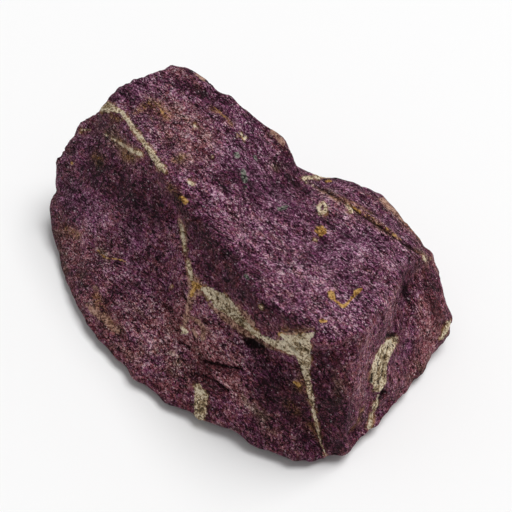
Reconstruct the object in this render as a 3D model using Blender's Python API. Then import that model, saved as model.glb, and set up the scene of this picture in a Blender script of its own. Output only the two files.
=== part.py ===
"""A rough lump of purpurite, broken from a vein: one solid stone, about 90 mm long, that lies on a flat spot."""

import math

import bmesh
import bpy
import numpy as np
from mathutils import Vector, noise
from mathutils.bvhtree import BVHTree

MM = 0.001
NAME = "purpurite_stone"
SLOT = "purpurite"

# The show side: the compass angle and slope that the stone's good side is looked at from, in degrees, how far
# away, and the point looked at, in millimetres.
SHOW_AZIMUTH = 46.0
SHOW_ELEVATION = 48.0
SHOW_DISTANCE = 284.4
SHOW_AIM = (6.2, 1.7, 16.5)

# Points on the stone as seen from the show side, in millimetres: right of the aim, above it in the view, and
# height above the rest plane. The outline runs anticlockwise from the notch at the upper left.
OUTLINE = [
    (-30.4, 29.8, 29.5), (-32.4, 27.8, 26.0), (-35.8, 24.8, 21.0), (-38.4, 21.2, 16.0), (-40.0, 16.8, 12.0),
    (-40.2, 12.4, 8.5), (-41.2, 8.2, 5.5), (-40.8, 3.8, 3.0), (-39.0, -0.4, 2.0), (-36.8, -8.0, 2.5),
    (-33.2, -14.6, 3.0), (-28.2, -20.0, 3.0), (-23.2, -25.0, 3.0), (-18.0, -29.4, 2.5), (-11.6, -32.2, 2.5),
    (-4.8, -34.6, 3.0), (-1.2, -36.8, 2.5), (2.8, -38.6, 2.0), (7.2, -39.8, 2.0), (12.0, -40.8, 1.5),
    (16.4, -40.0, 1.5), (19.8, -36.8, 1.5), (23.2, -34.0, 1.5), (26.2, -30.8, 1.5), (29.2, -27.8, 1.5),
    (31.8, -24.4, 1.5), (34.2, -20.8, 2.0), (37.2, -17.4, 2.5), (38.8, -13.4, 6.0), (38.0, -8.8, 10.0),
    (36.6, -4.4, 14.0), (35.6, -0.4, 17.0), (32.6, 3.2, 18.5), (30.4, 6.4, 20.0), (28.0, 9.2, 21.5),
    (25.6, 11.6, 22.8), (22.6, 13.2, 24.0), (19.6, 14.6, 25.0), (16.6, 15.6, 25.5), (13.4, 15.8, 26.0),
    (9.2, 17.4, 26.5), (7.6, 19.6, 28.0), (6.0, 22.2, 30.0), (4.0, 24.2, 31.2), (1.2, 25.2, 32.0),
    (-1.6, 27.0, 32.8), (-4.9, 30.6, 34.0), (-8.0, 32.0, 34.8), (-9.9, 33.0, 35.0), (-13.2, 36.8, 36.2),
    (-16.2, 37.8, 36.4), (-18.0, 37.2, 36.0), (-21.8, 35.2, 35.0), (-26.0, 33.7, 33.0), (-29.6, 30.8, 30.5),
]
RIDGE = [
    (-24.2, 23.2, 31.5), (-18.6, 17.2, 32.0), (-14.2, 10.6, 31.5), (-8.2, 5.6, 31.5), (-4.2, 0.2, 31.0),
    (-1.2, -5.2, 31.0), (1.8, -9.2, 31.0), (6.8, -12.4, 31.3), (11.8, -15.2, 31.4), (17.2, -17.6, 30.6),
]
STEEP_BAND_FOOT = [
    (-16.8, 8.8, 26.0), (-13.2, 2.2, 24.5), (-8.8, -4.8, 23.0), (-3.2, -10.8, 22.5), (2.8, -15.4, 23.0),
    (9.8, -19.2, 24.5),
]
FRONT = [
    (-31.2, 17.2, 20.5), (-23.2, 10.2, 22.5), (-34.2, 5.2, 10.5), (-27.2, 1.2, 13.0), (-21.2, -6.8, 12.0),
    (-29.2, -8.8, 7.5), (-11.2, -14.8, 15.0), (-17.2, -18.8, 7.5), (-5.2, -23.8, 12.5), (4.8, -28.8, 12.5),
    (11.2, -27.8, 17.0), (17.8, -28.8, 17.0),
]
END = [
    (20.8, -14.4, 31.0), (25.2, -8.4, 29.5), (28.8, -3.8, 26.5), (31.2, -1.2, 23.5), (24.8, -22.8, 14.5),
    (30.8, -16.8, 10.0), (30.4, -5.8, 17.5), (34.4, -10.8, 13.0),
]
TOP = [
    (8.8, 1.2, 30.0), (17.8, -4.8, 30.5), (-1.2, 9.2, 31.2), (6.8, 13.2, 28.0), (-5.2, 21.2, 33.0),
    (-13.2, 27.2, 34.2), (-13.2, 18.2, 33.0), (-21.2, 29.2, 33.5), (16.8, 4.2, 29.0), (2.8, 18.2, 29.5),
]
# A slab along the back has split off along a crack and sits lower than the top: both lips of the crack.
CRACK_UPPER_LIP = [(17.8, 10.6, 28.0), (24.8, 6.4, 26.4), (29.2, 3.0, 24.6), (32.8, 0.2, 21.6)]
CRACK_LOWER_LIP = [(18.6, 12.2, 26.8), (25.6, 8.0, 25.0), (30.2, 4.4, 23.0)]

# Points on the sides that the show side hides, and around the flat spot the stone lies on, in millimetres.
FAR_SIDES = [
    (-40.8, 0.7, 13.0), (-37.8, 9.7, 20.0), (-35.8, 15.7, 8.0), (-39.8, -2.3, 4.0), (-23.8, 21.7, 18.0),
    (-21.8, 22.7, 3.0), (-7.8, 23.7, 16.0), (-5.8, 25.7, 2.0), (8.2, 26.7, 12.0), (9.2, 28.7, 2.0),
    (22.2, 29.7, 9.0), (23.2, 29.7, 2.0), (33.2, 27.7, 3.0),
]
FLAT_SPOT = [
    (-17.0, -3.0), (-11.0, -10.0), (1.0, -13.0), (14.0, -10.0), (19.0, 0.0), (14.0, 10.0), (1.0, 12.0),
    (-12.0, 8.0), (0.0, 0.0),
]
# How deep the flat spot's points are set below the rest plane, so that the roughness leaves it whole.
FLAT_SPOT_SET = 0.9

# Below points of the sides that are lower than this, the foot is tucked in by this much, at this height.
TUCKED_BELOW = 3.2
TUCK = 3.4
TUCK_HEIGHT = 1.3

# Swellings and hollows of the show side, in millimetres: right of the aim, above it, how far they spread, and
# how far they stand out.
SWELLINGS = {
    "hollow under the vein": (-0.6, -17.4, 2.6, -1.3),
    "hollow under the shelf": (-9.4, -28.6, 3.6, -1.0),
    "lip of the shelf": (-9.8, -23.8, 3.2, 0.6),
    "recess beside the hump": (30.6, -4.6, 3.4, -0.9),
    "pit over the pale lens": (27.8, -15.8, 2.2, -0.9),
    "pit under the pale lens": (26.2, -28.0, 2.2, -0.8),
    "hollow behind the saddle": (7.4, 14.6, 4.0, -0.6),
    "dent of the left shoulder": (-33.0, 22.0, 4.0, -0.6),
    "swelling low on the front": (-20.0, -20.0, 7.0, 0.7),
    "swelling of the left end": (-33.0, 6.0, 7.0, 0.6),
    "swelling of the top": (-14.0, 24.0, 7.0, 0.6),
}

# The rock's grain lies in upright sheets along the stone's length: lumps and broken sheets are drawn out along
# it. Each roughness has its size along, across and up, and how far it stands out, in millimetres.
ROUGHNESS = {
    "lumps": ((13.0, 8.0, 10.0), 0.75),
    "knobs": ((6.0, 3.6, 5.0), 0.42),
}
# Broken sheets stand as low ledges: how far apart they are, how far they stand out, and how far they wander.
SHEET_SPACING = 5.2
SHEET_HEIGHT = 0.35
SHEET_WANDER = 2.2
SHEET_WANDER_SIZE = 17.0
# Fixed place of the roughness in the noise field, in millimetres.
ROUGHNESS_SEED = Vector((31.0, -57.0, 12.0))

# The stone's middle, from which its surface is measured.
HEART = np.array([0.0, 0.0, 16.5])
# Half sizes of the ball that is pushed out to the surface, so that its mesh comes out even.
BALL = np.array([43.0, 27.0, 19.0])
CELLS_PER_SIDE = 28
# Averaging passes that wear the edges. Afterwards the shell is moved in rounds until the rough stone passes
# through its landmarks again: the share of the miss made up in a round, and the most it moves, in millimetres.
WEAR_PASSES = 2
FITTING_ROUNDS = 5
FITTING_STEP = 0.8
FITTING_LIMIT = 2.4
SPLIT_ANGLE = 42.0


def show_axes():
    """Unit vectors right, up and back towards the eye for the show side."""
    turn, rise = math.radians(SHOW_AZIMUTH), math.radians(SHOW_ELEVATION)
    right = np.array([math.cos(turn), math.sin(turn), 0.0])
    back = np.array([math.sin(turn) * math.cos(rise), -math.cos(turn) * math.cos(rise), math.sin(rise)])
    return right, np.cross(back, right), back


def show_ray(right_mm, up_mm):
    """The eye of the show side, and the ray from it through a place in the view."""
    right, up, back = show_axes()
    return np.array(SHOW_AIM) + back * SHOW_DISTANCE, right * right_mm + up * up_mm - back * SHOW_DISTANCE


def seen(right_mm, up_mm, height):
    """The point that shows at this place in the view and lies at this height."""
    eye, ray = show_ray(right_mm, up_mm)
    return eye + ray * ((height - eye[2]) / ray[2])


def landmarks():
    """All the points that the stone passes through."""
    seen_groups = (OUTLINE, RIDGE, STEEP_BAND_FOOT, FRONT, END, TOP, CRACK_UPPER_LIP, CRACK_LOWER_LIP)
    points = [seen(*place) for group in seen_groups for place in group]
    points += [np.array(place) for place in FAR_SIDES]
    low = [point for point in points if point[2] < TUCKED_BELOW]
    points += [np.append(point[:2] * (1.0 - TUCK / np.hypot(*point[:2])), TUCK_HEIGHT) for point in low]
    points += [np.array((x, y, -FLAT_SPOT_SET)) for x, y in FLAT_SPOT]
    return np.array(points)


def lengths(vectors):
    return np.linalg.norm(vectors, axis=1)


def shell_faces(rays):
    """Triangles that join up the landmarks as they lie around the stone's middle."""
    mesh = bmesh.new()
    for ray in rays / BALL / lengths(rays / BALL)[:, None]:
        mesh.verts.new(Vector(ray))
    mesh.verts.index_update()
    bmesh.ops.convex_hull(mesh, input=mesh.verts[:])
    bmesh.ops.triangulate(mesh, faces=mesh.faces[:])
    faces = [[vertex.index for vertex in face.verts] for face in mesh.faces]
    mesh.free()
    return faces


def reach_along(tree, rays):
    """How far each ray from the stone's middle runs to the surface in the tree."""
    origin = Vector((0.0, 0.0, 0.0))
    return np.array([tree.ray_cast(origin, Vector(ray))[3] for ray in rays])


def ball_mesh():
    """A quad ball with even cells: a gridded cube whose points are blown out to a sphere."""
    mesh = bmesh.new()
    bmesh.ops.create_cube(mesh, size=2.0)
    bmesh.ops.subdivide_edges(mesh, edges=mesh.edges[:], cuts=CELLS_PER_SIDE - 1, use_grid_fill=True)
    for vertex in mesh.verts:
        even = Vector([math.tan(c * math.pi / 4.0) for c in vertex.co])
        vertex.co = even.normalized()
    mesh.verts.index_update()
    return mesh


def worn(pairs, reach):
    """The reach of every ball point after averaging it with the points next to it."""
    count = np.bincount(pairs.ravel(), minlength=len(reach))
    for _ in range(WEAR_PASSES):
        total = np.zeros(len(reach))
        np.add.at(total, pairs[:, 0], reach[pairs[:, 1]])
        np.add.at(total, pairs[:, 1], reach[pairs[:, 0]])
        reach = 0.5 * reach + 0.5 * total / count
    return reach


def swellings(points, cells):
    """How far the named swellings and hollows move each point out."""
    surface = BVHTree.FromPolygons(points.tolist(), cells)
    moved = np.zeros(len(points))
    for right_mm, up_mm, spread, height in SWELLINGS.values():
        eye, ray = show_ray(right_mm, up_mm)
        place = surface.ray_cast(Vector(eye), Vector(ray))[0]
        moved += height * np.exp(-((lengths(points - np.array(place)) / spread) ** 2))
    return moved


def roughness(point):
    """How far the broken grain moves a point out."""
    place = Vector(point) + ROUGHNESS_SEED
    moved = 0.0
    for size, height in ROUGHNESS.values():
        moved += height * noise.noise(Vector([c / s for c, s in zip(place, size)]))
    wander = SHEET_WANDER * noise.noise(place / SHEET_WANDER_SIZE)
    sheet = (place.y + wander) / SHEET_SPACING % 1.0
    return moved + SHEET_HEIGHT * (min(sheet, 3.0 * (1.0 - sheet)) - 0.4)


def stone_points(mesh):
    """Where every point of the ball goes, in millimetres, so that the rough stone passes through the landmarks."""
    rays = np.array([vertex.co for vertex in mesh.verts]) * BALL
    rays = rays / lengths(rays)[:, None]
    marks = landmarks() - HEART
    mark_reach = lengths(marks)
    mark_rays = marks / mark_reach[:, None]
    faces = shell_faces(marks)
    pairs = np.array([[vertex.index for vertex in edge.verts] for edge in mesh.edges])
    cells = [[vertex.index for vertex in face.verts] for face in mesh.faces]
    pushed = mark_reach.copy()
    for _ in range(FITTING_ROUNDS):
        shell = BVHTree.FromPolygons((mark_rays * pushed[:, None]).tolist(), faces)
        reach = worn(pairs, reach_along(shell, rays))
        smooth = HEART + rays * reach[:, None]
        reach += swellings(smooth, cells) + np.array([roughness(point) for point in smooth])
        surface = BVHTree.FromPolygons((rays * reach[:, None]).tolist(), cells)
        pushed += FITTING_STEP * (mark_reach - reach_along(surface, mark_rays))
        pushed = np.clip(pushed, mark_reach - FITTING_LIMIT, mark_reach + FITTING_LIMIT)
    points = HEART + rays * reach[:, None]
    sunk = points[:, 2] < 0.0
    points[sunk] = HEART - rays[sunk] * (HEART[2] / rays[sunk, 2])[:, None]
    return points


def centred(points):
    """The points moved level, so that the origin is under the middle of the stone's box."""
    middle = (points.max(axis=0) + points.min(axis=0)) / 2.0
    return points - (middle[0], middle[1], 0.0)


def stone_material():
    material = bpy.data.materials.new(SLOT)
    material.use_nodes = True
    shader = material.node_tree.nodes["Principled BSDF"]
    shader.inputs["Base Color"].default_value = (0.091, 0.041, 0.060, 1.0)
    shader.inputs["Roughness"].default_value = 0.7
    shader.inputs["Metallic"].default_value = 0.0
    return material


def build_stone():
    mesh = ball_mesh()
    for vertex, point in zip(mesh.verts, centred(stone_points(mesh))):
        vertex.co = Vector(point) * MM
    bmesh.ops.recalc_face_normals(mesh, faces=mesh.faces[:])
    bmesh.ops.triangulate(mesh, faces=mesh.faces[:])
    data = bpy.data.meshes.new(NAME)
    mesh.to_mesh(data)
    mesh.free()
    data.materials.append(stone_material())
    data.shade_smooth()
    data.set_sharp_from_angle(angle=math.radians(SPLIT_ANGLE))
    stone = bpy.data.objects.new(NAME, data)
    bpy.context.scene.collection.objects.link(stone)


def main():
    for old in list(bpy.data.objects):
        bpy.data.objects.remove(old)
    build_stone()


if __name__ == "__main__":
    main()
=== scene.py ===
"""A rough lump of purpurite with cream and ochre veins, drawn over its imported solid, on a pale floor."""

import math

import bmesh
import bpy
import numpy as np
from bpy.props import FloatProperty, FloatVectorProperty, PointerProperty
from bpy.types import Operator, Panel, PropertyGroup
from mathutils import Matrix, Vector, noise
from mathutils.bvhtree import BVHTree


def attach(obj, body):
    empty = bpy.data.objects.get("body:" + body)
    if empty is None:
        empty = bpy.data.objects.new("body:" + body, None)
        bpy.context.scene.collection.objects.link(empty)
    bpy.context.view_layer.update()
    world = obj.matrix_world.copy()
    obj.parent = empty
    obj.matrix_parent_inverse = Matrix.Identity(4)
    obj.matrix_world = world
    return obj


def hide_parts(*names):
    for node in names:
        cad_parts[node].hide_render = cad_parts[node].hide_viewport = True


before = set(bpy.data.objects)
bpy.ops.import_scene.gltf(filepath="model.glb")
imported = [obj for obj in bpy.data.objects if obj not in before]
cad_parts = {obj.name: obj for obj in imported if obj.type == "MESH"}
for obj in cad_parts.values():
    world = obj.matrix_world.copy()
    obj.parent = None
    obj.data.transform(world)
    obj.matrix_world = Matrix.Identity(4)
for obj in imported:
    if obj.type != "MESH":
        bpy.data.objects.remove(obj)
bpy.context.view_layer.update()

bl_info = {
    "name": "Purpurite stone",
    "version": (1, 0, 0),
    "blender": (4, 5, 0),
    "location": "3D View > Sidebar > Stone",
    "description": "Builds a rough purpurite stone, its veins and its studio",
    "category": "Object",
}

NODE = "purpurite_stone"
BODY = "root"
MM = 0.001

# The show side: where the camera stands, in degrees and millimetres, what it looks at, and its lens.
VIEW_AZIMUTH = 46.0
VIEW_ELEVATION = 48.0
VIEW_DISTANCE = 284.4
VIEW_AIM = (6.035, 0.792, 16.5)
LENS = 100.0
SENSOR = 36.0
# Markings are measured in pixels of a square view from the show side, this many pixels wide.
VIEW_PIXELS = 512
PIXELS_PER_MM = VIEW_PIXELS * LENS / SENSOR / VIEW_DISTANCE

# The stone's middle, from which the fine surface is drawn over the solid, and the proportions that keep the
# cells of the fine surface even, in millimetres.
HEART = np.array([-0.2, -0.9, 16.5])
BALL = np.array([43.0, 27.0, 19.0])
CELLS_PER_SIDE = 128
# How far the cells crowd towards the show side: 0 spreads them evenly.
SHOW_CROWDING = 0.4
# Passes of averaging that take the solid's facets out of the fine surface.
FACET_PASSES = 4
# Crispness given back to the edges: the width of the averaging that finds them, in passes, and its share.
EDGE_PASSES = 60
EDGE_SHARE = 0.55
# Fixed place of the stone in the noise fields, and the seed of those that give a direction.
NOISE_PLACE = np.array([41.3, -17.9, 63.1])
NOISE_SEED = 11
# The way in which a finish's own noises are shifted from each other.
SHIFT_WAY = (1.0, 1.7, 0.6)

# Relief of the broken rock. The grain lies in upright sheets along the stone's length, so each field has its
# size along, across and up, and how far it stands out, in millimetres.
RELIEF = {
    "lumps": ((8.0, 4.6, 6.5), 0.42),
    "knobs": ((3.6, 2.0, 3.2), 0.25),
    "sheets": ((4.2, 1.1, 3.4), 0.22),
    "fibres": ((2.1, 0.62, 1.7), 0.09),
}
# Broken facets, each tilted its own way: their size along, across and up, and how far they stand out.
FACETS = {
    "plates": ((7.5, 3.4, 6.5), 0.42),
    "chips": ((2.8, 1.5, 2.5), 0.21),
}
# Open seams between the sheets: the size of the field they follow, their half width in it, and their depth.
SEAM_SIZE = (9.0, 1.7, 7.0)
SEAM_HALF_WIDTH = 0.055
SEAM_DEPTH = 0.34
# The seams open in patches of this size.
OPEN_PATCH_SIZE = (6.0, 6.0, 6.0)
# The foot is smoother: the share of the relief it keeps, and the heights between which the rest comes in.
FOOT_RELIEF = 0.55
FOOT_HEIGHTS = (2.0, 12.0)
# Sugary crystals: their size, how far they stand out, and how fast they fall away from their middles.
CRYSTAL_SIZE = (0.95, 0.72, 0.95)
CRYSTAL_HEIGHT = 0.09
CRYSTAL_FALL = 1.3
# The cream veins stand out and are rough: their height, and the size and height of their own grain.
VEIN_HEIGHT = 0.16
VEIN_GRAIN_SIZE = (0.9, 0.9, 0.9)
VEIN_GRAIN_HEIGHT = 0.18
# The uneven edges of veins and holes: the size of their waves, and how far these reach.
RAGGED_SIZE = (1.1, 1.1, 1.1)
RAGGED_REACH = 0.22
# Depth of cracks and holes, and the half width of a crack beside its stroke.
CRACK_DEPTH = 0.45
CRACK_HALF_WIDTH = 0.22
HOLE_DEPTH = 0.55
# Passes of averaging that part the broad lift from the fine, and that smooth the surface's slope.
LIFT_PASSES = 14
SLOPE_PASSES = 20

# How strokes are laid on the stone. Points start this far from every stroke, in millimetres, and only those
# within the margin of a stroke are measured.
FAR_AWAY = 9.0
STROKE_MARGIN = 3.0
# Thin strokes get a steeper edge, so that its unevenness does not break them: the share of the full spread
# that a hair line's edge has, and how many pixels of half width add a whole to it.
THIN_EDGE = 0.35
THIN_EDGE_SPREAD = 3.5
# In depth a stroke reaches this many half widths and this much more, in millimetres.
STROKE_DEPTH = 1.9
STROKE_DEPTH_MARGIN = 0.2
# A bump reaches this many times its width in depth, and a tint fades within this share of its width.
BUMP_DEPTH = 4.0
TINT_REACH = 0.8
# Strokes on the hidden sides: steps for each point, how far they wander in millimetres, how often they turn,
# and their width as a share of the given one: its middle, its variation, and how often it changes.
STEPS_PER_KNOT = 5
WANDER = 1.6
WANDER_TURNS = (0.31, 0.83)
WIDTH_SHARES = (0.9, 1.1)
WIDTH_TURNS = 0.67

# Small bumps and dents that shape the outline of the show side: right and down in view pixels, how wide in
# pixels, and how far out in millimetres.
BUMPS = [
    (87, 127, 9, -1.9), (106, 103, 6, -0.8), (97, 119, 6, -0.5), (77, 134, 7, -0.6), (65, 151, 7, -0.5),
    (159, 77, 7, -0.7), (213, 95, 7, -0.7),
    (266, 130, 8, -0.9), (322, 181, 12, -1.1), (377, 197, 9, 0.4), (405, 222, 9, -0.4), (425, 247, 8, -0.5),
    (434, 261, 7, -0.5), (60, 162, 6, 0.3), (58, 190, 10, -0.8), (54, 226, 11, 0.3), (69, 284, 8, -0.3),
    (93, 331, 10, -0.5), (107, 344, 9, -0.5), (139, 372, 11, 1.1), (169, 398, 10, 0.9), (198, 415, 7, 0.4),
    (250, 441, 8, 0.4), (295, 455, 9, 0.8), (312, 458, 12, 0.5), (357, 437, 9, -1.9), (366, 430, 9, -1.2),
    (380, 417, 9, -2.0), (391, 406, 8, -1.2), (402, 394, 9, -0.8), (412, 382, 8, -0.4), (446, 325, 7, -0.5),
    (434, 350, 8, -0.3), (404, 282, 6, 0.6), (172, 70, 12, -0.4), (229, 99, 8, 0.5), (204, 81, 6, 0.2),
    (88, 328, 8, -0.3), (322, 459, 7, 0.4),
]

# Markings on the show side. Every stroke is a run of points: right and down in view pixels, and full width.
CREAM = [
    # the vein over the upper left, from the edge of the view down to the ridge
    [(103, 109, 6), (109, 107, 8), (116, 110, 6), (122, 112, 4), (129, 122, 4), (137, 133, 4.5),
     (143, 141, 4), (148, 148, 5), (156, 160, 6), (161, 167, 6.5), (164, 171, 4)],
    # the fainter vein left of it
    [(105, 134, 1.5), (117, 141, 2), (129, 149, 3), (138, 153, 5), (142, 155, 3)],
    # the thin vein down to the fork, in two parts
    [(181, 225, 2.5), (183, 236, 4), (185, 250, 3)],
    [(188, 262, 3), (190, 271, 4), (192, 279, 3.5)],
    # the crumb at the end of the branch below the fork
    [(182, 328, 3), (185, 331, 6), (181, 334, 2)],
    # the main vein from the fork to the three-cornered knot
    [(203, 289, 5), (208, 291, 9), (214, 296, 13), (221, 302, 16), (230, 309, 13), (239, 319, 9),
     (250, 329, 5.5), (260, 336, 5), (270, 341, 5.5), (280, 345, 9)],
    # the knot, its corners and its tail down to the foot
    [(280, 345, 9), (291, 346, 16), (302, 347, 19), (304, 357, 14), (306, 368, 8), (307, 378, 6)],
    [(281, 335, 3), (292, 339, 8), (307, 337, 8), (314, 333, 4)],
    [(307, 376, 6), (309, 385, 5), (311, 394, 6), (312, 402, 4), (314, 412, 3), (316, 420, 3.5),
     (319, 435, 2), (321, 443, 2), (325, 453, 1.5), (326, 459, 3.5)],
    # the patch at the foot of the long face
    [(197, 386, 7), (201, 394, 12), (201, 404, 13), (200, 415, 11)],
    # the lens on the end face and its tail
    [(394, 340, 8), (388, 347, 13), (384, 354, 14), (381, 362, 16), (379, 371, 17), (379, 379, 16),
     (378, 386, 11)],
    [(379, 396, 3), (375, 406, 4), (371, 417, 4), (369, 428, 4)],
    # the strip along the far right edge
    [(449, 322, 4), (446, 330, 4.5), (441, 339, 3)],
    # small flecks
    [(80, 132, 2), (85, 130, 3), (91, 129, 1.5)],
    [(195, 126, 4)], [(189, 182, 3), (192, 184, 4)], [(306, 183, 1.5)], [(313, 185, 1.5)],
    [(315.5, 239.5, 2.5)], [(260, 306, 2), (262, 309, 3)], [(423, 256, 2.5), (425, 261, 2.5)],
    [(172, 287, 2)],
    [(320, 212, 5), (318, 207, 3), (323, 203, 3), (326, 207, 3), (324, 213, 4)],
    [(347, 204, 3), (350, 209, 5), (352, 213, 2)], [(150, 118, 1.2)], [(237, 136, 2)], [(212, 157, 2)],
    [(241, 134, 3), (242, 137, 2)], [(246, 137, 3), (245, 140, 2)],
]
# Tan and pinkish stain along the veins.
TAN = [
    # the stained vein down to the fork and the branch below it
    [(180, 221, 4), (183, 236, 6), (186, 253, 4.5)],
    [(188, 259, 4), (190, 272, 6), (193, 284, 9), (197, 290, 11)],
    [(195, 289, 10), (191, 298, 7), (189, 306, 6), (187, 314, 5), (184, 325, 4)],
    # the stained sides of the main vein
    [(209, 304, 3), (222, 315, 5), (236, 325, 7), (248, 334, 6), (262, 342, 4), (270, 348, 3)],
    [(236, 306, 3), (244, 314, 6), (253, 325, 5)],
    # above the knot
    [(281, 333, 4), (291, 336, 5), (304, 331, 4), (313, 328, 3)],
    # the end of the fainter upper vein
    [(124, 145, 3), (133, 150, 4), (142, 156, 4)],
    # dull patches by the foot and along the rim of the top
    [(88, 306, 4), (95, 312, 7), (104, 319, 5), (113, 327, 5), (121, 333, 3)], [(96, 288, 5)],
    [(197, 74, 4), (204, 80, 4)], [(272, 131, 5), (283, 142, 5)],
    [(383, 200, 5), (393, 210, 6), (402, 219, 4)],
    [(431, 258, 3)], [(324, 192, 2)],
    [(192, 318, 3), (198, 321, 4), (203, 328, 4), (203, 339, 4)], [(193, 329, 3), (197, 337, 3)],
]
OCHRE = [
    [(319, 230, 8), (323, 231, 8)],
    [(331, 293, 7), (333, 297, 6)],
    # specks beside the upper vein
    [(149, 103, 2.5)], [(161, 110, 1.5), (163, 113, 2)], [(116, 118, 2)], [(98, 158, 2.5)], [(128, 156, 2)],
    [(212, 106, 1), (218, 110, 1.5), (224, 116, 1.5), (229, 121, 1)], [(237, 134, 1.2), (245, 140, 1.5)],
    # the stained fork
    [(192, 281, 2), (195, 285, 6), (201, 288, 5)], [(194, 289, 5), (191, 296, 3)],
    # stains round the knot
    [(280, 334, 4), (290, 337, 3), (303, 334, 3)], [(294, 382, 3), (299, 385, 4)],
    [(308, 388, 3), (311, 398, 3)],
    [(335, 300, 2.5), (341, 305, 2.5), (344, 307, 3), (350, 300, 2.5), (356, 292, 4), (361, 289, 3)],
    [(321, 321, 4), (326, 321, 3)],
    [(181, 198, 5), (185, 201, 6)],
    [(326, 181, 2.5), (331, 181, 2)], [(322, 227, 3), (320, 234, 5)],
    [(353, 206, 0.8), (361, 212, 1.6)], [(368, 215, 1.2), (375, 219, 0.8)], [(381, 223, 1), (388, 229, 1.4)],
    [(393, 233, 1.2), (402, 240, 0.8)],
    [(98, 251, 1.5), (106, 258, 1.5), (118, 259, 1.5), (127, 262, 1)],
]
GREEN = [
    [(237, 155, 7)], [(255, 156, 3), (257, 160, 3)], [(243, 171, 6), (245, 180, 7)], [(246, 187, 4)],
    [(279, 209, 5), (286, 207, 5)], [(246, 276, 5), (248, 279, 4)],
]
CRACKS = [
    [(203, 361, 1), (214, 364, 1.6), (229, 367, 1.6), (242, 369, 1)],
    [(171, 375, 1.5), (181, 378, 1.5)],
    [(179, 342, 1.5), (189, 348, 1.5)],
    [(380, 266, 0.6), (377, 272, 1.2), (371, 282, 0.8)], [(364, 289, 1), (355, 298, 0.8), (346, 308, 0.6)],
    # between the ribs of the lens
    [(391, 342, 1.5), (387, 350, 1.2), (385, 358, 1.5)], [(381, 354, 1), (378, 364, 1.2), (377, 374, 1)],
    [(383, 364, 1), (382, 375, 1.5), (380, 384, 1)], [(373, 374, 2), (372, 382, 2.5)],
    # through the knot
    [(297, 339, 1), (300, 346, 0.8), (307, 350, 0.8)], [(290, 345, 0.8), (296, 351, 0.8)],
    [(377, 246, 1.2), (384, 253, 1.2)],
    [(318, 186, 0.8), (334, 195, 1.2), (345, 202, 1.4), (356, 210, 1.4), (366, 217, 1.8), (380, 226, 1.6),
     (392, 235, 2.0), (402, 242, 1.8), (412, 248, 1.2), (421, 254, 1)],
    [(304, 195, 1), (311, 189, 1.4)],
    [(186, 375, 1), (196, 374, 1.6), (206, 377, 1.8), (216, 382, 1.6), (228, 391, 1)],
]
HOLES = [
    [(245, 340, 4), (251, 343, 7), (258, 345, 5), (263, 347, 3)],
    [(388, 336, 3), (394, 336, 4)],
    [(382, 393, 5), (380, 398, 4)],
    [(404, 283, 2.5), (407, 290, 1.5)],
]

# Markings on the sides that the show side hides: runs of x, y, z and full width, all in millimetres.
FAR_CREAM = [
    # the upper vein goes on over the left end
    [(-36, -1, 31, 1.6), (-37, 2, 29, 1.2), (-40, 5, 25, 1.0), (-39, 8, 18, 1.3), (-38, 9, 12, 0.9),
     (-33, 12, 3, 0.6)],
    # a forked vein down the back
    [(4, 16, 26, 0.8), (4, 20, 23, 1.2), (6, 24, 19, 1.8), (3, 24, 15, 2.4), (7, 26, 10, 1.4),
     (5, 27, 5, 0.9), (8, 28, 1, 0.7)],
    [(3, 24, 15, 2.0), (-4, 23, 14, 1.2), (-12, 22, 16, 0.9), (-20, 21, 20, 0.6)],
    [(33, 24, 11, 1.5), (34, 23, 8, 2.4), (33, 24, 5, 1.6)],
]
FAR_TAN = [
    [(4, 20, 23, 2.4), (6, 24, 19, 3.0), (3, 24, 15, 3.6), (7, 26, 10, 2.6)],
    [(-39, 6, 22, 2.2), (-39, 8, 16, 2.4)], [(-25, 20, 8, 2.2), (-21, 21, 6, 1.6)], [(20, 27, 5, 2.0)],
]
FAR_OCHRE = [
    [(-24, 21, 9, 1.0)], [(16, 26, 17, 1.3)], [(28, 27, 8, 0.9)], [(-12, 20, 22, 1.1), (-11, 21, 21, 0.7)],
    [(-40, -5, 14, 1.2)], [(3, 24, 12, 1.0)],
]
FAR_GREEN = [[(-2, 22, 19, 1.4)], [(20, 26, 12, 1.2), (21, 26, 10, 0.8)], [(-37, 12, 20, 1.1)]]

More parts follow.
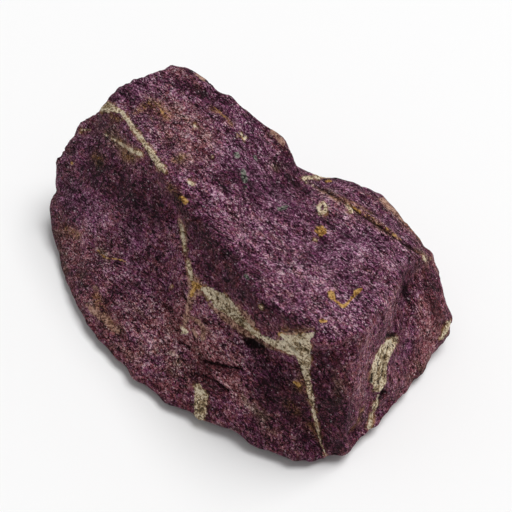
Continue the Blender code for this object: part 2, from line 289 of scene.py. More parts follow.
# Broad tints on the show side, as soft strokes of the same kind. The pink strokes are partly pink rock and
# partly painted light, which makes those places lighter.
PINK_AND_PAINTED_LIGHT = [
    [(150, 95, 30), (175, 115, 44), (200, 140, 34)],
    [(190, 180, 22), (225, 215, 34), (265, 258, 42), (310, 298, 48), (345, 320, 38)],
    [(320, 200, 30), (350, 215, 20)], [(330, 238, 20), (365, 262, 24)], [(385, 260, 22), (390, 300, 26)],
    [(197, 328, 9), (202, 338, 6)], [(166, 134, 7)], [(195, 139, 8), (204, 138, 6)],
    [(230, 126, 8), (241, 129, 7)], [(182, 120, 10)], [(150, 92, 8), (158, 96, 8)], [(236, 187, 16)],
    [(83, 123, 12)], [(276, 430, 22)], [(365, 340, 26), (360, 400, 22)],
    [(160, 350, 24)], [(195, 330, 34), (225, 365, 38), (240, 395, 26)], [(150, 320, 24)],
    [(425, 310, 20), (430, 345, 20)], [(100, 215, 30), (75, 240, 20)],
]
# Darker rock and painted shade, on the band below the ridge, near the foot and in the pit under the main
# vein.
DARK_ROCK_AND_SHADE = [
    [(95, 165, 22), (125, 190, 26), (155, 212, 20)],
    [(172, 190, 12), (200, 228, 24), (225, 265, 28), (255, 300, 24), (292, 324, 14)],
    [(330, 360, 26), (333, 400, 28), (330, 440, 22)], [(270, 380, 30), (290, 420, 44), (265, 430, 24)],
    [(284, 158, 14), (290, 176, 22), (300, 190, 14)],
    [(403, 276, 9), (408, 298, 9)], [(255, 346, 13)], [(205, 366, 6), (240, 372, 6)],
    [(192, 386, 8), (208, 384, 8), (222, 392, 8)], [(200, 395, 12), (201, 412, 12)], [(446, 331, 9)],
    [(296, 326, 12), (306, 325, 8)], [(388, 347, 8), (380, 375, 12)],
    [(311, 390, 6), (314, 412, 6), (321, 440, 6)], [(106, 106, 8)], [(232, 180, 20), (250, 190, 16)],
    [(430, 290, 12), (436, 315, 14)], [(180, 80, 12), (215, 105, 14)], [(128, 377, 12)],
]
RUSSET = [
    [(165, 110, 16), (185, 118, 20), (205, 140, 20), (190, 160, 14)],
    [(60, 225, 22), (85, 280, 40), (125, 325, 44), (185, 330, 40), (215, 365, 40), (170, 380, 30)],
    [(425, 270, 18), (432, 300, 30), (432, 335, 28), (410, 375, 22)],
    [(372, 196, 12), (400, 218, 14), (428, 250, 14), (437, 270, 10)], [(268, 130, 10), (285, 148, 10)],
    [(175, 70, 14), (200, 82, 12)], [(170, 130, 24), (200, 160, 20)],
    [(197, 328, 10), (202, 338, 8)],
]
RUST = [
    [(136, 112, 5), (148, 104, 8), (158, 106, 7), (166, 115, 8)], [(112, 115, 6), (119, 120, 5)],
    [(94, 157, 7), (101, 160, 6)], [(120, 141, 5), (129, 149, 6)], [(124, 156, 7), (132, 158, 5)],
    [(176, 160, 7), (183, 156, 5)], [(169, 187, 6), (178, 196, 6)], [(212, 108, 4), (232, 124, 4)],
    [(300, 387, 7), (306, 374, 5)], [(288, 404, 6), (296, 412, 6)], [(310, 425, 6), (318, 436, 5)],
    [(308, 384, 4), (310, 396, 5), (311, 404, 4)], [(372, 420, 5), (379, 400, 4)],
    [(384, 366, 4), (372, 376, 5)], [(283, 330, 6), (300, 333, 5)], [(195, 281, 7), (201, 287, 5)],
    [(362, 410, 6), (352, 428, 6)], [(66, 229, 5), (78, 236, 6)],
    [(96, 296, 6), (104, 318, 7), (118, 330, 6)], [(344, 198, 4), (372, 214, 4)],
    # along the crack in the top, its rim, and the main vein
    [(318, 188, 4), (333, 196, 5), (352, 207, 5), (366, 216, 5), (382, 228, 6), (400, 241, 5), (418, 252, 4)],
    [(386, 203, 5), (398, 213, 6), (408, 225, 5), (420, 240, 5)],
    [(222, 316, 4), (236, 327, 5), (250, 336, 4)],
]
PLUM = [
    [(70, 190, 22), (95, 215, 24)], [(230, 150, 18), (255, 175, 22), (285, 205, 20)], [(250, 128, 12)],
    [(330, 255, 22), (370, 240, 18)], [(350, 300, 20)], [(135, 235, 22)], [(140, 80, 14)], [(408, 350, 16)],
]
MOSS = [
    [(54, 238, 8), (60, 256, 8), (68, 254, 6)],
    [(100, 118, 10), (108, 130, 14), (120, 146, 14), (132, 156, 12)],
    [(98, 164, 9)], [(152, 104, 10)], [(179, 160, 9)], [(308, 180, 10), (322, 190, 8), (340, 200, 6)],
    [(118, 332, 6)], [(419, 250, 8), (428, 262, 6)],
    [(160, 350, 8), (178, 362, 7)], [(276, 168, 8)], [(290, 328, 9), (303, 326, 8)],
    [(85, 132, 10)], [(98, 251, 6), (118, 260, 6)], [(180, 205, 10), (186, 240, 8)],
    [(292, 392, 14), (302, 378, 10)], [(248, 400, 12), (275, 425, 14)], [(340, 370, 8), (338, 400, 8)],
]

# The names under which the surface carries its markings: veins and grains with their strokes on the show side
# and on the hidden sides, then what is open, then the broad tints, which carry painted light and painted
# shade as well as colour.
GROWN = {"cream": (CREAM, FAR_CREAM), "ochre": (OCHRE, FAR_OCHRE), "tan": (TAN, FAR_TAN),
         "green": (GREEN, FAR_GREEN)}
OPEN = {"crack": CRACKS, "hole": HOLES}
TINTS = {"pink_and_painted_light": PINK_AND_PAINTED_LIGHT, "dark_rock_and_shade": DARK_ROCK_AND_SHADE, "russet": RUSSET, "rust": RUST, "plum": PLUM, "moss": MOSS}

# Colours of the rock and its stains, from its darkest tone to its lightest, each with its place between them.
VIOLET_TONES = [(0.0, (0.010, 0.002, 0.006)), (0.26, (0.056, 0.008, 0.029)), (0.50, (0.175, 0.036, 0.105)),
                (0.76, (0.42, 0.125, 0.285)), (1.0, (0.85, 0.52, 0.70))]
RUSSET_TONES = [(0.0, (0.012, 0.002, 0.003)), (0.26, (0.068, 0.011, 0.015)), (0.50, (0.220, 0.048, 0.058)),
                (0.76, (0.47, 0.145, 0.158)), (1.0, (0.85, 0.52, 0.50))]
ASHEN_TONES = [(0.0, (0.011, 0.007, 0.008)), (0.26, (0.056, 0.034, 0.041)), (0.50, (0.150, 0.092, 0.112)),
               (0.76, (0.36, 0.240, 0.285)), (1.0, (0.85, 0.68, 0.74))]
BROWN_TONES = [(0.0, (0.010, 0.006, 0.003)), (0.26, (0.046, 0.028, 0.015)), (0.50, (0.140, 0.086, 0.048)),
               (0.76, (0.34, 0.225, 0.130)), (1.0, (0.75, 0.60, 0.44))]
RUST_TONES = [(0.05, (0.024, 0.010, 0.004)), (0.45, (0.21, 0.092, 0.030)), (0.85, (0.60, 0.33, 0.13))]
# Colours of the veins, from where they are most worn, dirty and in painted shade to where they are clean.
CREAM_TONES = [(0.10, (0.090, 0.056, 0.030)), (0.34, (0.235, 0.160, 0.090)), (0.56, (0.56, 0.385, 0.200)),
               (0.88, (1.0, 0.87, 0.66))]
OCHRE_TONES = [(0.10, (0.040, 0.018, 0.008)), (0.38, (0.20, 0.090, 0.022)), (0.62, (0.50, 0.235, 0.042)),
               (0.95, (0.80, 0.50, 0.18))]
TAN_TONES = [(0.10, (0.045, 0.018, 0.016)), (0.38, (0.180, 0.080, 0.058)), (0.62, (0.40, 0.195, 0.135)),
             (0.95, (0.74, 0.47, 0.35))]
GREEN_TONES = [(0.15, (0.012, 0.013, 0.011)), (0.50, (0.115, 0.120, 0.098)), (0.95, (0.40, 0.40, 0.34))]
# The colour of the painted glints: pale specks where crystals would catch the light.
PAINTED_GLINT = (0.85, 0.74, 0.78, 1.0)
# Near black painted shade in the cracks and holes.
CRACK_SHADE = (0.012, 0.006, 0.007, 1.0)
HOLE_SHADE = (0.010, 0.006, 0.006, 1.0)


def lengths(vectors):
    return np.linalg.norm(vectors, axis=-1)


def smooth_step(values, start, end):
    share = np.clip((values - start) / (end - start), 0.0, 1.0)
    return share * share * (3.0 - 2.0 * share)


def view_axes():
    """Unit vectors right, up and back towards the camera."""
    turn, rise = math.radians(VIEW_AZIMUTH), math.radians(VIEW_ELEVATION)
    right = np.array([math.cos(turn), math.sin(turn), 0.0])
    back = np.array([math.sin(turn) * math.cos(rise), -math.cos(turn) * math.cos(rise), math.sin(rise)])
    return right, np.cross(back, right), back


def to_view(points):
    """Where points in millimetres show in the view, in view pixels."""
    right, up, back = view_axes()
    away = points - np.array(VIEW_AIM)
    scale = PIXELS_PER_MM / (1.0 - away @ back / VIEW_DISTANCE)
    middle = VIEW_PIXELS / 2.0
    return np.stack([middle + away @ right * scale, middle - away @ up * scale], axis=-1)


def ray_through(pixel):
    """The camera's place and the ray from it through a view pixel, in millimetres."""
    right, up, back = view_axes()
    middle = VIEW_PIXELS / 2.0
    across = right * (pixel[0] - middle) / PIXELS_PER_MM
    upward = up * (middle - pixel[1]) / PIXELS_PER_MM
    return Vector(np.array(VIEW_AIM) + back * VIEW_DISTANCE), Vector(across + upward - back * VIEW_DISTANCE)


def ball_grid():
    """A ball of even quads: its points as unit vectors, its quads and its edges."""
    mesh = bmesh.new()
    bmesh.ops.create_cube(mesh, size=2.0)
    bmesh.ops.subdivide_edges(mesh, edges=mesh.edges[:], cuts=CELLS_PER_SIDE - 1, use_grid_fill=True)
    mesh.verts.index_update()
    cube = np.array([vertex.co for vertex in mesh.verts])
    quads = np.array([[vertex.index for vertex in face.verts] for face in mesh.faces])
    edges = np.array([[vertex.index for vertex in edge.verts] for edge in mesh.edges])
    mesh.free()
    even = np.tan(cube * math.pi / 4.0)
    return even / lengths(even)[:, None], quads, edges


def averaged(values, edges, passes):
    """Values at the points, averaged with their neighbours a few times."""
    count = np.bincount(edges.ravel(), minlength=len(values))
    columns = values.reshape(len(values), -1).T.copy()
    for _ in range(passes):
        for row, column in enumerate(columns):
            total = np.bincount(edges[:, 0], column[edges[:, 1]], len(column))
            total += np.bincount(edges[:, 1], column[edges[:, 0]], len(column))
            columns[row] = 0.5 * column + 0.5 * total / count
    return columns.T.reshape(values.shape)


def normals_of(points, quads):
    """Unit normals at the points, from the quads around them."""
    across = points[quads[:, 2]] - points[quads[:, 0]]
    along = points[quads[:, 3]] - points[quads[:, 1]]
    faces = np.cross(across, along)
    total = np.zeros_like(points)
    for corner in range(4):
        for axis in range(3):
            total[:, axis] += np.bincount(quads[:, corner], faces[:, axis], len(points))
    outward = np.sign(np.einsum("ij,ij->i", total, points - HEART).sum())
    return outward * total / lengths(total)[:, None]


def noise_field(points, size, seed=0.0):
    """Smooth noise between about -1 and 1, with its size along, across and up in millimetres."""
    placed = (points + NOISE_PLACE + seed) / np.array(size)
    return np.array([noise.noise(place) for place in placed.tolist()])


def facet_field(points, size):
    """Height of packed flat facets, each tilted its own way about its own middle."""
    placed = (points + NOISE_PLACE) / np.array(size)
    heights = []
    for place in placed.tolist():
        middle = noise.voronoi(place)[1][0]
        tilt = noise.noise_vector(middle * 7.31)
        heights.append((Vector(place) - middle).dot(tilt))
    return np.array(heights)


def crystal_field(points, size):
    """Height of packed round crystals, 1 at their middles and about 0 between them."""
    placed = (points + NOISE_PLACE) / np.array(size)
    return np.array([1.0 - noise.voronoi(place)[0][0] * CRYSTAL_FALL for place in placed.tolist()])


def fine_surface(rays, edges):
    """The solid's surface under every ray from its middle, with its facets smoothed out."""
    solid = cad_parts[NODE].data
    corners = [vertex.co / MM - Vector(HEART) for vertex in solid.vertices]
    tree = BVHTree.FromPolygons(corners, [tuple(face.vertices) for face in solid.polygons])
    reach = np.array([tree.ray_cast(Vector(), Vector(ray))[3] for ray in rays.tolist()])
    reach = averaged(reach, edges, FACET_PASSES)
    reach += EDGE_SHARE * (reach - averaged(reach, edges, EDGE_PASSES))
    return HEART + rays * reach[:, None]


def segment_distance(points, start, end):
    """Distance of points from a segment, and how far along it they lie from 0 to 1."""
    span = end - start
    along = np.clip((points - start) @ span / max(span @ span, 1e-9), 0.0, 1.0)
    return lengths(points - start - along[:, None] * span), along


def place_seen(tree, pixel):
    """Where a view pixel meets the stone, or the stone's nearest point where it misses."""
    camera, ray = ray_through(pixel)
    place = tree.ray_cast(camera, ray)[0]
    if place is None:
        place = tree.find_nearest(camera + ray)[0]
    return np.array(place)


def marked(points, flat, tree, strokes):
    """How far each point lies outside the strokes, in millimetres; inside them it is negative."""
    edge = np.full(len(points), FAR_AWAY)
    for stroke in strokes:
        runs = [(pixel, place_seen(tree, pixel[:2])) for pixel in stroke]
        for (start, start_place), (end, end_place) in zip(runs, runs[1:] or runs):
            deep, _ = segment_distance(points, start_place, end_place)
            near = np.nonzero(deep < max(start[2], end[2]) / PIXELS_PER_MM + STROKE_MARGIN)[0]
            across, along = segment_distance(flat[near], np.array(start[:2], float), np.array(end[:2], float))
            half = (start[2] + (end[2] - start[2]) * along) / 2.0
            spread = np.minimum(1.0, THIN_EDGE + half / THIN_EDGE_SPREAD)
            seen = (across - half) / PIXELS_PER_MM / spread
            reach = deep[near] - STROKE_DEPTH * half / PIXELS_PER_MM - STROKE_DEPTH_MARGIN
            edge[near] = np.minimum(edge[near], np.maximum(seen, reach))
    return edge


def far_marked(points, tree, strokes):
    """The same for strokes given in space, which wander along the surface in short steps of uneven width."""
    edge = np.full(len(points), FAR_AWAY)
    for stroke in strokes:
        knots = np.array(stroke * 2 if len(stroke) == 1 else stroke, float)
        steps = np.linspace(0.0, len(knots) - 1.0, STEPS_PER_KNOT * len(knots) + 1)
        run = np.column_stack([np.interp(steps, range(len(knots)), column) for column in knots.T])
        places = []
        widths = []
        for *place, width in run.tolist():
            place = Vector(place)
            slow, quick = (noise.noise_vector(place * turns) for turns in WANDER_TURNS)
            places.append(np.array(tree.find_nearest(place + (slow + 0.5 * quick) * WANDER)[0]))
            widths.append(width * (WIDTH_SHARES[0] + WIDTH_SHARES[1] * noise.noise(place * WIDTH_TURNS)))
        for start, end, width, next_width in zip(places, places[1:], widths, widths[1:]):
            away, along = segment_distance(points, start, end)
            edge = np.minimum(edge, away - (width + (next_width - width) * along) / 2.0)
    return edge


def bumped(points, normals, tree):
    """The points moved out or in by the bumps and dents near the outline."""
    lift = np.zeros(len(points))
    flat = to_view(points)
    for right, down, width, out in BUMPS:
        place = tree.ray_cast(*ray_through((right, down)))[0]
        if place is not None:
            across = lengths(flat - np.array([right, down])) / width
            deep = lengths(points - np.array(place)) * PIXELS_PER_MM / (BUMP_DEPTH * width)
            lift += out * np.exp(-across ** 2 - deep ** 2)
    return points + normals * lift[:, None]


def tinted(points, tree, strokes):
    """How strongly each point takes a broad tint, from 0 to 1."""
    tint = np.zeros(len(points))
    for stroke in strokes:
        places = [tree.ray_cast(*ray_through(pixel[:2]))[0] for pixel in stroke]
        runs = [(pixel[2], np.array(place)) for pixel, place in zip(stroke, places) if place is not None]
        # The first point is also taken alone, so that a stroke of one point gives a round tint.
        for (width, place), (next_width, next_place) in zip(runs[:1] + runs, runs):
            away, along = segment_distance(points, place, next_place)
            reach = (width + (next_width - width) * along) / PIXELS_PER_MM * TINT_REACH
            tint = np.maximum(tint, np.exp(-(away / reach) ** 2))
    return tint


def broken_lift(points):
    """How far the broken rock stands out at each point, with its seams, in millimetres."""
    lift = sum(height * noise_field(points, size) for size, height in RELIEF.values())
    lift += sum(height * facet_field(points, size) for size, height in FACETS.values())
    seams = np.exp(-(noise_field(points, SEAM_SIZE, 7.0) / SEAM_HALF_WIDTH) ** 2)
    lift -= SEAM_DEPTH * seams * smooth_step(noise_field(points, OPEN_PATCH_SIZE, 3.0), -0.1, 0.3)
    return lift * (FOOT_RELIEF + (1.0 - FOOT_RELIEF) * smooth_step(points[:, 2], *FOOT_HEIGHTS))


def markings(points, tree):
    """Every marking by name, as one value for each point."""
    flat = to_view(points)
    marks = {}
    for name, (strokes, far_strokes) in GROWN.items():
        marks[name] = np.minimum(marked(points, flat, tree, strokes), far_marked(points, tree, far_strokes))
    for name, strokes in OPEN.items():
        marks[name] = marked(points, flat, tree, strokes)
    for name, strokes in TINTS.items():
        marks[name] = tinted(points, tree, strokes)
    return marks


def fine_lift(points, marks):
    """How far crystals and veins stand out at each point, and cracks and holes go in, in millimetres."""
    ragged = RAGGED_REACH * noise_field(points, RAGGED_SIZE, 11.0)
    cream = smooth_step(-(marks["cream"] + ragged), -0.15, 0.25)
    crystals = CRYSTAL_HEIGHT * (crystal_field(points, CRYSTAL_SIZE) - 0.5) * (1.0 - 0.6 * cream)
    veins = cream * (VEIN_HEIGHT + VEIN_GRAIN_HEIGHT * noise_field(points, VEIN_GRAIN_SIZE, 5.0))
    cracks = CRACK_DEPTH * np.exp(-(np.maximum(marks["crack"], 0.0) / CRACK_HALF_WIDTH) ** 2)
    holes = HOLE_DEPTH * smooth_step(-marks["hole"] + 2.0 * ragged, -0.5, 0.7)
    return crystals + veins - cracks - holes


def rock_points(relief):
    """The rough surface in millimetres, its quads, and its markings by name."""
    noise.seed_set(NOISE_SEED)
    rays, quads, edges = ball_grid()
    rays = rays + SHOW_CROWDING * view_axes()[2]
    rays = rays / lengths(rays)[:, None] * BALL
    rays = rays / lengths(rays)[:, None]
    points = fine_surface(rays, edges)
    tree = BVHTree.FromPolygons(points.tolist(), quads.tolist())
    points = bumped(points, normals_of(points, quads), tree)
    normals = normals_of(points, quads)
    slope = averaged(normals[:, 2], edges, SLOPE_PASSES)

    lift = broken_lift(points) * relief
    points = points + normals * lift[:, None]
    normals = normals_of(points, quads)

    marks = markings(points, BVHTree.FromPolygons(points.tolist(), quads.tolist()))
    fine = fine_lift(points, marks)
    points = points + normals * fine[:, None]
    points[:, 2] = np.maximum(points[:, 2], 0.0)
    # The lift is kept so that the colours can paint shade in the pits and light on the raised points.
    marks["lift"] = 0.5 * (lift - averaged(lift, edges, LIFT_PASSES)) + fine
    marks["up"] = slope
    return points, quads, marks


def mesh_object(name, points, quads, marks):
    """A mesh object in metres whose points carry the named values."""
    data = bpy.data.meshes.new(name)
    data.from_pydata((points * MM).tolist(), [], quads.tolist())
    for mark, values in marks.items():
        layer = data.attributes.new(mark, "FLOAT", "POINT")
        layer.data.foreach_set("value", values.astype(np.float32))
    data.shade_smooth()
    data.update()
    return linked(name, data)


class Field:
    """A number that varies over a surface. Expressions on it add Math nodes to its material."""

    def __init__(self, tree, socket):
        self.tree = tree
        self.socket = socket

    def math(self, operation, *others):
        """The field put through one Math node."""
        node = self.tree.nodes.new("ShaderNodeMath")
        node.operation = operation
        for socket, value in zip(node.inputs, (self,) + others):
            plug(self.tree, socket, value)
        return Field(self.tree, node.outputs[0])

    def __add__(self, other):
        return self.math("ADD", other)

    __radd__ = __add__

    def __mul__(self, other):
        return self.math("MULTIPLY", other)

    __rmul__ = __mul__

    def __sub__(self, other):
        return self.math("SUBTRACT", other)

    def __rsub__(self, other):
        return (self * -1.0) + other

    def at_least(self, other):
        return self.math("MAXIMUM", other)

    def swing(self, strength):
        """The field about its middle value of a half, times a strength."""
        return (self - 0.5) * strength

    def rise(self, start, end):
        """0 up to start, 1 from end on, and a smooth rise between; start may be the larger."""
        node = self.tree.nodes.new("ShaderNodeMapRange")
        node.interpolation_type = "SMOOTHSTEP"
        low, high = (0.0, 1.0) if start < end else (1.0, 0.0)
        for name, value in (("Value", self), ("From Min", min(start, end)), ("From Max", max(start, end)),
                            ("To Min", low), ("To Max", high)):
            plug(self.tree, node.inputs[name], value)
        return Field(self.tree, node.outputs[0])


def plug(tree, socket, value):
    """Links a socket or field to an input, or sets the input's own value."""
    if isinstance(value, Field):
        value = value.socket
    if isinstance(value, bpy.types.NodeSocket):
        tree.links.new(value, socket)
    else:
        socket.default_value = value


class Finish:
    """A material under construction."""

    def __init__(self, name):
        self.material = bpy.data.materials.new(name)
        self.material.use_nodes = True
        self.tree = self.material.node_tree
        self.shader = self.tree.nodes["Principled BSDF"]
        object_place = self.node("ShaderNodeTexCoord", output="Object")
        self.place = self.vector("SCALE", object_place, scale=1.0 / MM)

    def node(self, kind, settings=None, output=0, **inputs):
        """A node of any kind: its settings first, then its sockets; underscores stand for spaces."""
        node = self.tree.nodes.new(kind)
        for key, value in (settings or {}).items():
            setattr(node, key, value)
        for key, value in inputs.items():
            plug(self.tree, node.inputs[key.replace("_", " ")], value)
        return node.outputs[output]

    def vector(self, operation, first, second=None, scale=None):
        """A sum on vectors. A dot product comes back as a number."""
        node = self.tree.nodes.new("ShaderNodeVectorMath")
        node.operation = operation
        plug(self.tree, node.inputs[0], first)
        if second is not None:
            plug(self.tree, node.inputs[1], second)
        if scale is not None:
            plug(self.tree, node.inputs["Scale"], scale)
        if operation == "DOT_PRODUCT":
            return Field(self.tree, node.outputs["Value"])
        return node.outputs["Vector"]

    def mix(self, share, first, second):
        """The first colour turned into the second by a share from 0 to 1."""
        settings = {"data_type": "RGBA", "clamp_factor": True}
        return self.node("ShaderNodeMix", settings, "Result", Factor=share, A=first, B=second)

    def ramp(self, share, stops):
        """A colour ramp: stops are places from 0 to 1 with their colours."""
        colour = self.node("ShaderNodeValToRGB", output="Color", Fac=share)
        elements = colour.node.color_ramp.elements
        elements[0].position, elements[-1].position = stops[0][0], stops[-1][0]
        elements[0].color, elements[-1].color = (*stops[0][1], 1.0), (*stops[-1][1], 1.0)
        for place, shade in stops[1:-1]:
            elements.new(place).color = (*shade, 1.0)
        return colour

    def mark(self, name):
        """A value that the surface itself carries."""
        return Field(self.tree, self.node("ShaderNodeAttribute", {"attribute_name": name}, "Fac"))

    def along(self, axis):
        """The place on the stone along one axis, in millimetres."""
        return Field(self.tree, self.node("ShaderNodeSeparateXYZ", output=axis, Vector=self.place))

    def scaled(self, sizes, shift=0.0):
        """The place on the stone, divided by sizes in millimetres."""
        moved = self.vector("ADD", self.place, tuple(shift * part for part in SHIFT_WAY))
        return self.vector("DIVIDE", moved, sizes)

    def noise(self, sizes, shift=0.0, detail=3.0, roughness=0.6, warp=0.0):
        """Noise about a half, with its size along, across and up in millimetres."""
        return Field(self.tree, self.node("ShaderNodeTexNoise", Vector=self.scaled(sizes, shift), Scale=1.0,
                                          Detail=detail, Roughness=roughness, Distortion=warp))

    def wrinkle(self, sizes, shift, width):
        """1 along thin lines that wander through the noise, 0 away from them."""
        away = (self.noise(sizes, shift, detail=2.0) - 0.5).math("ABSOLUTE")
        return away.rise(width, 0.0)

    def cells(self, sizes, shift=0.0):
        """Packed cells: a random number for each, and a facet tilted its own way across it."""
        place = self.scaled(sizes, shift)
        cell = self.node("ShaderNodeTexVoronoi", output="Color", Vector=place, Scale=1.0)
        tilt = self.vector("SUBTRACT", cell, (0.5, 0.5, 0.5))
        offset = self.vector("SUBTRACT", place, cell.node.outputs["Position"])
        chance = self.node("ShaderNodeSeparateColor", output="Red", Color=cell)
        return Field(self.tree, chance), self.vector("DOT_PRODUCT", tilt, offset)

    def surface(self, **inputs):
        """Sets the shader's sockets; underscores stand for spaces."""
        for key, value in inputs.items():
            plug(self.tree, self.shader.inputs[key.replace("_", " ")], value)
        return self.material


class RockGrain:
    """The cells, noises and marks that the colours of the rock and of its veins share."""

    def __init__(self, finish):
        self.finish = finish
        self.chance, self.facet = finish.cells((0.46, 0.34, 0.46))
        self.fine_chance, self.fine_facet = finish.cells((0.24, 0.20, 0.24), 5.0)
        self.region = finish.noise((13.0, 8.0, 11.0), 1.0)
        self.patch = finish.noise((4.5, 2.2, 4.0), 2.0, detail=4.0)
        self.streak = finish.noise((3.2, 0.55, 0.8), 3.0, detail=4.0, roughness=0.7)
        self.fibre = finish.noise((0.60, 0.16, 0.22), 4.0, detail=3.0, roughness=0.75)
        self.flake = finish.noise((1.6, 0.8, 1.3), 51.0, detail=5.0, roughness=0.68, warp=0.9)
        self.grime = finish.noise((0.42, 0.42, 0.42), 14.0, detail=4.0, roughness=0.75)
        self.ragged = finish.noise((1.1, 1.1, 1.1), 6.0, detail=5.0, roughness=0.75).swing(1.5)
        self.lift = finish.mark("lift")
        self.up = finish.mark("up").rise(0.35, 0.9)
        self.dark_rock_and_shade = finish.mark("dark_rock_and_shade")
        self.seam = self.seam_lines()
        self.tone = self.rock_tone()
        self.wear_and_shade = self.wear_and_shade_tone()
        self.cream = self.inside("cream", 1.0, 0.07, -0.07)

    def inside(self, name, wear, start, end):
        """1 inside the named strokes and 0 outside them, with an edge as uneven as the wear."""
        return (self.finish.mark(name) + self.ragged * wear).rise(start, end)

    def seam_lines(self):
        """1 along the thin seams, which the tone paints dark as shade in them. Those of the broken patches
        are coarser than those between them.
        """
        broken = self.finish.noise((3.0, 2.2, 3.0), 23.0).rise(0.42, 0.54)
        long_seam = self.finish.wrinkle((3.4, 1.0, 3.0), 21.0, 0.026)
        short_seam = self.finish.wrinkle((1.4, 0.55, 1.3), 27.0, 0.026)
        flat_seam = self.finish.wrinkle((2.4, 0.7, 1.0), 57.0, 0.022)
        return (long_seam.at_least(short_seam) * broken).at_least(flat_seam * (1.0 - broken))

    def rock_tone(self):
        """How light the rock is, about 0 to 1, from broad regions down to single crystals."""
        upright = self.finish.noise((0.7, 0.5, 2.4), 37.0, detail=4.0, roughness=0.7)
        pink_and_painted_light = self.finish.mark("pink_and_painted_light")
        tone = 0.48 + self.region.swing(0.35) + self.patch.swing(0.5 + 0.4 * self.up)
        tone = tone + self.fibre.swing(1.55) + self.flake.swing(0.85 + 0.25 * self.up)
        tone = tone + self.streak.swing(0.65) + upright.swing(0.6)
        grain = 0.34 + 0.28 * self.up - 0.14 * self.dark_rock_and_shade
        tone = tone + self.chance.swing(0.28) + self.fine_chance.swing(grain)
        # Painted shade and light: pits and seams are darker, and raised points are lighter.
        tone = tone + self.lift * 0.7 - self.seam * 0.95
        # The pink strokes add painted light with some pink colour; the dark strokes add painted shade with
        # some darker rock.
        return tone + pink_and_painted_light * (0.21 - 0.06 * self.up) - self.dark_rock_and_shade * 0.20

    def wear_and_shade_tone(self):
        """How clean the veins are, about 0 to 1, where 0 is worn and dirty; painted shade from the dark
        strokes and in the pits lowers it, and raised points are painted lighter.
        """
        stain = self.finish.noise((2.4, 2.0, 2.4), 16.0, detail=4.0)
        wear_and_shade = 0.72 - self.dark_rock_and_shade * 0.30 + self.grime.swing(3.0) + stain.swing(2.0)
        return wear_and_shade + self.chance.swing(0.7) + self.lift * 0.3


def rock_colour(finish, grain):
    """Violet to russet rock, dulled in places, with brown weathering and a few painted glints."""
    hue = finish.noise((2.2, 1.2, 2.0), 31.0, detail=4.0, warp=0.6)
    hue_grain = finish.noise((0.40, 0.24, 0.40), 33.0, detail=2.0, roughness=0.75)
    russet = finish.mark("russet")
    warmth = (1.0 - grain.up) * 0.45 + grain.region.swing(0.7) + hue.swing(2.8) + hue_grain.swing(3.6)
    warmth = warmth + grain.fine_chance.swing(0.4)
    warmth = warmth + russet * 0.6 + finish.mark("pink_and_painted_light") * 0.25 - finish.mark("plum") * 0.6
    dulled = finish.noise((0.9, 0.5, 0.8), 43.0, detail=4.0, roughness=0.75, warp=0.6).rise(0.45, 0.60)
    dulled = dulled * (0.34 + 0.25 * grain.up) + hue_grain.swing(1.4) + grain.chance.swing(0.55)

    weather = finish.noise((6.0, 2.6, 5.0), 8.0, detail=5.0).rise(0.50, 0.68)
    left_end = finish.along("X").rise(-30.0, -44.0)
    foot = finish.along("Z").rise(10.0, 1.0)
    weather = weather * (0.12 + 0.35 * left_end + 0.25 * foot + 0.35 * russet)
    weather = weather + finish.mark("moss") * grain.patch.rise(0.38, 0.62)
    # Painted glints: a few crystals painted pale, as if they caught the light.
    painted_glint = grain.fine_chance.rise(0.970, 0.980) * grain.chance.rise(0.80, 0.84)

    colour = finish.mix(warmth, finish.ramp(grain.tone, VIOLET_TONES), finish.ramp(grain.tone, RUSSET_TONES))
    colour = finish.mix(dulled, colour, finish.ramp(grain.tone, ASHEN_TONES))
    colour = finish.mix(weather * 0.75, colour, finish.ramp(grain.tone, BROWN_TONES))
    return finish.mix(painted_glint * 0.6, colour, PAINTED_GLINT)


def veined(finish, grain, colour):
    """The rock's colour with its stains, grains, veins, cracks and holes laid over it in turn."""
    halo = (finish.mark("cream") + grain.ragged).rise(0.75, 0.05)
    halo = halo * finish.noise((3.0, 3.0, 3.0), 12.0).rise(0.42, 0.62)
    rust = finish.mark("rust")
    ochre_colour = finish.ramp(grain.wear_and_shade, OCHRE_TONES)
    rust_colour = finish.ramp(grain.tone, RUST_TONES)
    layers = (
        (halo * 0.45, ochre_colour),
        (rust * grain.flake.rise(0.36, 0.56) * 0.85, rust_colour),
        (grain.inside("green", 0.7, 0.02, -0.22), finish.ramp(grain.wear_and_shade, GREEN_TONES)),
        (grain.inside("tan", 1.4, 0.25, -0.25) * 0.85, finish.ramp(grain.wear_and_shade, TAN_TONES)),
        (grain.inside("ochre", 1.0, 0.14, -0.14), ochre_colour),
        (grain.cream, finish.ramp(grain.wear_and_shade, CREAM_TONES)),
        (rust * grain.cream * grain.patch.rise(0.46, 0.62) * 0.7, rust_colour),
        # Cracks and holes are painted near black, as shade in them.
        (grain.inside("crack", 0.5, 0.10, -0.10) * 0.88, CRACK_SHADE),
        (grain.inside("hole", 3.0, 0.50, -0.50) * 0.8, HOLE_SHADE),
    )
    for share, layer in layers:
        colour = finish.mix(share, colour, layer)
    return colour


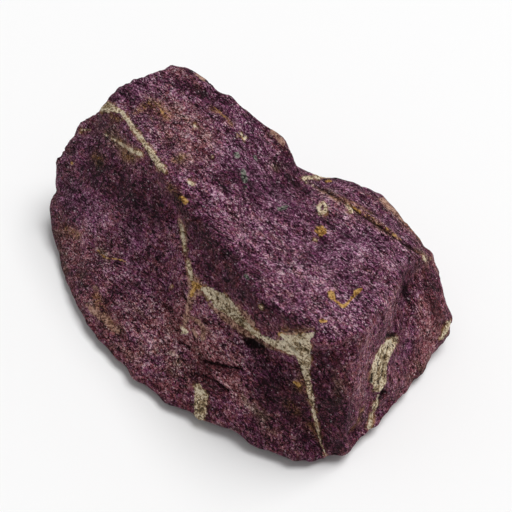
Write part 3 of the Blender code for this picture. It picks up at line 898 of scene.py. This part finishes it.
def purpurite_finish():
    """Sugary purple rock with seams painted dark as shade, brown weathering, cream and ochre veins and
    grey-green grains.
    """
    finish = Finish("purpurite")
    grain = RockGrain(finish)
    colour = veined(finish, grain, rock_colour(finish, grain))
    height = grain.facet * 0.28 + grain.fine_facet * 0.18 + grain.fibre * 0.24 + grain.streak * 0.14
    height = height - grain.seam * 0.22
    normal = finish.node("ShaderNodeBump", Strength=1.0, Distance=MM, Height=height)
    glints = grain.fine_chance.rise(0.86, 0.97) * grain.chance.rise(0.45, 0.75) * (1.0 - grain.cream)
    roughness = 0.66 + grain.grime.swing(0.2)
    return finish.surface(Base_Color=colour, Roughness=roughness, Normal=normal, Metallic=0.0,
                          Coat_Weight=glints * 0.4, Coat_Roughness=0.25, Specular_IOR_Level=0.10)


def build_rock(settings):
    """Makes the rough surface, which stands in for the solid."""
    points, quads, marks = rock_points(settings.relief)
    rock = mesh_object("purpurite_rock", points, quads, marks)
    rock.data.materials.append(purpurite_finish())
    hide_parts(NODE)
    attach(rock, BODY)


def aimed(item, place, target):
    """Puts a camera or light at a place and points it at another, both in metres."""
    item.location = place
    item.rotation_mode = "QUATERNION"
    item.rotation_quaternion = (Vector(target) - Vector(place)).to_track_quat("-Z", "Y")


def linked(name, data):
    """A new object in the scene."""
    item = bpy.data.objects.new(name, data)
    bpy.context.scene.collection.objects.link(item)
    return item


def build_stage(settings):
    """Makes the floor, the light from all round, the softbox and the camera."""
    bpy.context.scene.view_settings.view_transform = "Standard"
    half = settings.floor_size / 2.0
    data = bpy.data.meshes.new("floor")
    data.from_pydata([(-half, -half, 0.0), (half, -half, 0.0), (half, half, 0.0), (-half, half, 0.0)], [],
                     [(0, 1, 2, 3)])
    floor = linked("floor", data)
    finish = Finish("floor")
    data.materials.append(finish.surface(Base_Color=(*settings.floor_colour, 1.0), Roughness=0.9))

    world = bpy.data.worlds.new("studio")
    bpy.context.scene.world = world
    world.use_nodes = True
    sky = world.node_tree.nodes["Background"]
    sky.inputs["Color"].default_value = (1.0, 1.0, 1.0, 1.0)
    sky.inputs["Strength"].default_value = settings.sky_strength

    aim = Vector(VIEW_AIM) * MM
    lamp = bpy.data.lights.new("softbox", "AREA")
    lamp.shape = "SQUARE"
    lamp.size = settings.softbox_size
    lamp.energy = settings.softbox_power
    aimed(linked("softbox", lamp), Vector(settings.softbox_place), aim)

    camera_data = bpy.data.cameras.new("camera")
    camera_data.lens = LENS
    camera_data.sensor_width = SENSOR
    camera_data.clip_start = 0.01
    camera = linked("camera", camera_data)
    aimed(camera, aim + Vector(view_axes()[2]) * VIEW_DISTANCE * MM, aim)
    bpy.context.scene.camera = camera


class STONE_PG_rock(PropertyGroup):
    """What a user may change on the rock."""

    relief: FloatProperty(name="Relief", description="How strongly the broken grain stands out", default=1.0,
                          min=0.0, max=2.0, subtype="FACTOR")


class STONE_PG_stage(PropertyGroup):
    """What a user may change on the studio."""

    floor_size: FloatProperty(name="Floor size", description="Side of the square floor", default=4.0, min=0.5,
                              unit="LENGTH")
    floor_colour: FloatVectorProperty(name="Floor colour", description="Colour of the pale floor",
                                      default=(0.92, 0.92, 0.92), min=0.0, max=1.0, subtype="COLOR")
    sky_strength: FloatProperty(name="Sky strength", description="Strength of the light from all round",
                                default=0.35, min=0.0)
    softbox_power: FloatProperty(name="Softbox power", description="Power of the overhead softbox",
                                 default=281.0, min=0.0, unit="POWER")
    softbox_size: FloatProperty(name="Softbox size", description="Side of the square softbox", default=3.6,
                                min=0.05, unit="LENGTH")
    softbox_place: FloatVectorProperty(name="Softbox place", description="Where the softbox hangs",
                                       default=(0.96, 2.06, 5.2), subtype="TRANSLATION", unit="LENGTH")


class STONE_OT_rock(Operator):
    """Build the stone's rough surface with its veins, cracks and colours."""

    bl_idname = "stone.rock"
    bl_label = "Build the rock"

    def execute(self, context):
        build_rock(context.scene.stone_rock)
        return {"FINISHED"}


class STONE_OT_stage(Operator):
    """Build the floor, the light and the camera."""

    bl_idname = "stone.stage"
    bl_label = "Build the stage"

    def execute(self, context):
        build_stage(context.scene.stone_stage)
        return {"FINISHED"}


class STONE_PT_panel(Panel):
    """The stone's operators and settings in the 3D view's sidebar."""

    bl_idname = "STONE_PT_panel"
    bl_label = "Purpurite stone"
    bl_space_type = "VIEW_3D"
    bl_region_type = "UI"
    bl_category = "Stone"

    def draw(self, context):
        scene = context.scene
        for operator, settings in ((STONE_OT_rock, scene.stone_rock), (STONE_OT_stage, scene.stone_stage)):
            box = self.layout.box()
            box.operator(operator.bl_idname)
            for key in settings.__annotations__:
                box.prop(settings, key)


CLASSES = (STONE_PG_rock, STONE_PG_stage, STONE_OT_rock, STONE_OT_stage, STONE_PT_panel)


def register():
    for item in CLASSES:
        bpy.utils.register_class(item)
    bpy.types.Scene.stone_rock = PointerProperty(type=STONE_PG_rock)
    bpy.types.Scene.stone_stage = PointerProperty(type=STONE_PG_stage)


def unregister():
    del bpy.types.Scene.stone_stage
    del bpy.types.Scene.stone_rock
    for item in reversed(CLASSES):
        bpy.utils.unregister_class(item)


def main():
    register()
    bpy.ops.stone.rock()
    bpy.ops.stone.stage()


if __name__ == "__main__":
    main()
